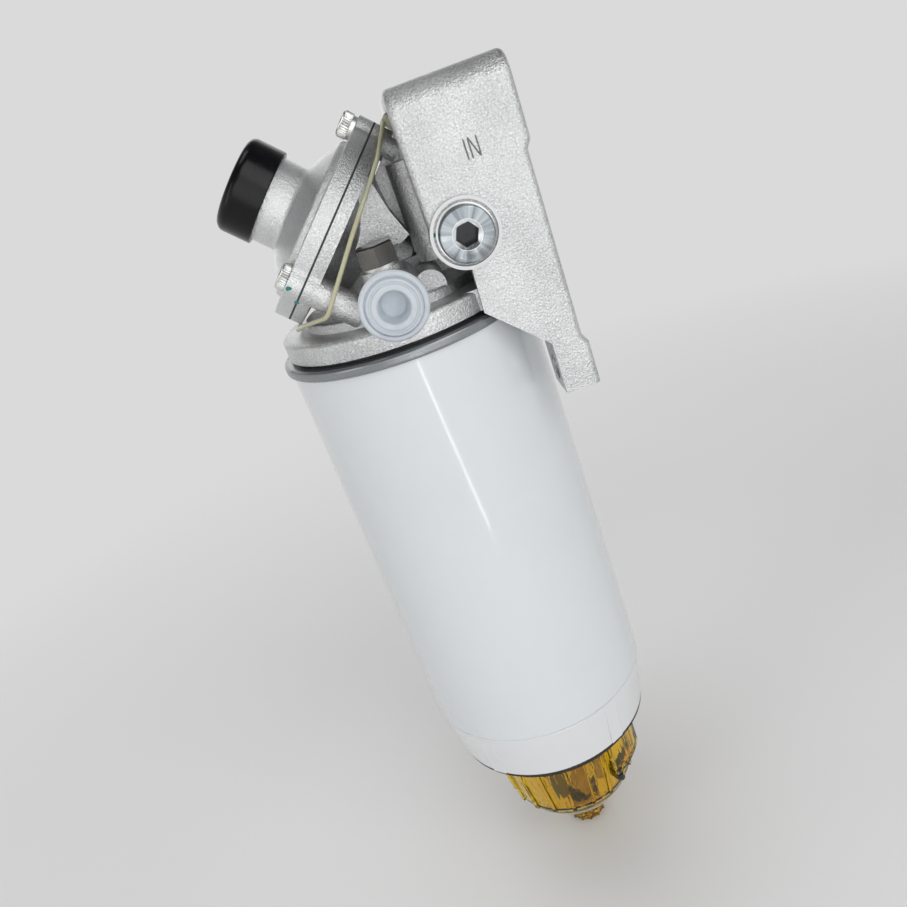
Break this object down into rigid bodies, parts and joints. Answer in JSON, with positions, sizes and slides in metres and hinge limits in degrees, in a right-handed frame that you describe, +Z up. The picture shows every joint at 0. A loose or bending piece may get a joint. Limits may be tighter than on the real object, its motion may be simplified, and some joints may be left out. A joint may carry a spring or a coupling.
{
  "type": "fuel pre-filter",
  "caption": "Spin-on diesel fuel pre-filter: cast aluminium head with bolt-on bracket and hand primer pump, white canister, clear amber water bowl with drain.",
  "frame": {"origin": "centre of the bracket's bolt holes, on the mounting face", "axes": "+Z up along the canister's axis, +X out of the mounting face, away from the canister, +Y along the ports, towards the port with its plug further back"},
  "size_m": [0.1241, 0.1174, 0.3914],
  "materials": {
    "cast_aluminium": "sand-cast, light grain, satin",
    "turned_aluminium": "cast and turned, satin",
    "zinc_steel": "bright zinc plate",
    "bleed_metal": "satin, brown-grey",
    "washer_metal": "bright",
    "black_rubber": "matte",
    "gasket_sheet": "matte",
    "black_knob": "glossy black",
    "black_plastic": "satin black",
    "dark_plastic": "glossy, dark brown",
    "white_enamel": "glossy white",
    "white_skirt": "glossy white over a casting",
    "grey_ring": "satin grey",
    "inner_steel": "plain sheet steel",
    "cap_plastic": "satin, milky bluish white",
    "tie_nylon": "satin, pale yellowish",
    "filter_paper": "resin-treated paper",
    "amber_plastic": "clear amber, glossy",
    "drain_amber": "amber, glossy"
  },
  "bodies": {
    "head": {"head_casting": "cast_aluminium", "threaded_nipple": "zinc_steel", "port_plugs": "zinc_steel", "plug_washers": "washer_metal", "transit_caps": "cap_plastic", "pump_gasket": "gasket_sheet", "pump_cover": "turned_aluminium", "pump_screws": "zinc_steel", "pump_spring": "zinc_steel", "tie_strap": "tie_nylon"},
    "primer": {"pump_knob": "black_knob", "pump_piston": "black_plastic", "piston_ring": "black_rubber"},
    "bleed_seat": {"bleed_washer": "washer_metal"},
    "bleed": {"bleed_screw": "bleed_metal"},
    "can_seat": {"can_gasket": "black_rubber"},
    "canister": {"seam_ring": "grey_ring", "nut_plate": "inner_steel", "can_shell": "white_enamel", "can_skirt": "white_skirt", "element_media": "filter_paper", "element_top_cap": "inner_steel", "element_bottom_cap": "inner_steel", "centre_tube": "inner_steel", "nipple_grommet": "black_rubber", "spring_plate": "inner_steel", "water_baffle": "dark_plastic"},
    "bowl_seat": {"bowl_gasket": "black_rubber"},
    "bowl": {"water_bowl": "amber_plastic", "sensor_port_plug": "black_plastic"},
    "drain_seat": {"drain_ring": "black_rubber"},
    "drain": {"drain_valve": "drain_amber"}
  },
  "joints": [
    {"name": "primer_push", "type": "slide", "parent": "head", "child": "primer", "axis": [-0.6984, 0, 0.7157], "range_m": [-0.009, 0], "stiffness_N_per_m": 600, "springref_m": 0.02, "deforming": ["pump_spring"]},
    {"name": "bleed_travel", "type": "slide", "parent": "head", "child": "bleed_seat", "axis": [0, 0, 1], "range_m": [0, 0.003]},
    {"name": "bleed_turn", "type": "hinge", "parent": "bleed_seat", "child": "bleed", "pos_m": [-0.066, -0.038, 0.012], "axis": [0, 0, 1], "range_deg": [0, 1081.2]},
    {"name": "canister_travel", "type": "slide", "parent": "head", "child": "can_seat", "axis": [0, 0, -1], "range_m": [0, 0.018]},
    {"name": "canister_turn", "type": "hinge", "parent": "can_seat", "child": "canister", "pos_m": [-0.066, 0, -0.017], "axis": [0, 0, -1], "range_deg": [0, 4321.2]},
    {"name": "bowl_travel", "type": "slide", "parent": "canister", "child": "bowl_seat", "axis": [0, 0, -1], "range_m": [0, 0.012]},
    {"name": "bowl_turn", "type": "hinge", "parent": "bowl_seat", "child": "bowl", "pos_m": [-0.066, 0, -0.2416], "axis": [0, 0, -1], "range_deg": [0, 1081.2]},
    {"name": "drain_travel", "type": "slide", "parent": "bowl", "child": "drain_seat", "axis": [0, 0, -1], "range_m": [0, 0.004]},
    {"name": "drain_turn", "type": "hinge", "parent": "drain_seat", "child": "drain", "pos_m": [-0.066, 0, -0.306], "axis": [0, 0, -1], "range_deg": [0, 721.2]}
  ],
  "couplings": [
    {"joint": "bleed_turn", "follows": "bleed_travel", "rad_per_m": 6283.2},
    {"joint": "canister_turn", "follows": "canister_travel", "rad_per_m": 4188.8},
    {"joint": "bowl_turn", "follows": "bowl_travel", "rad_per_m": 1570.8},
    {"joint": "drain_turn", "follows": "drain_travel", "rad_per_m": 3141.6}
  ]
}
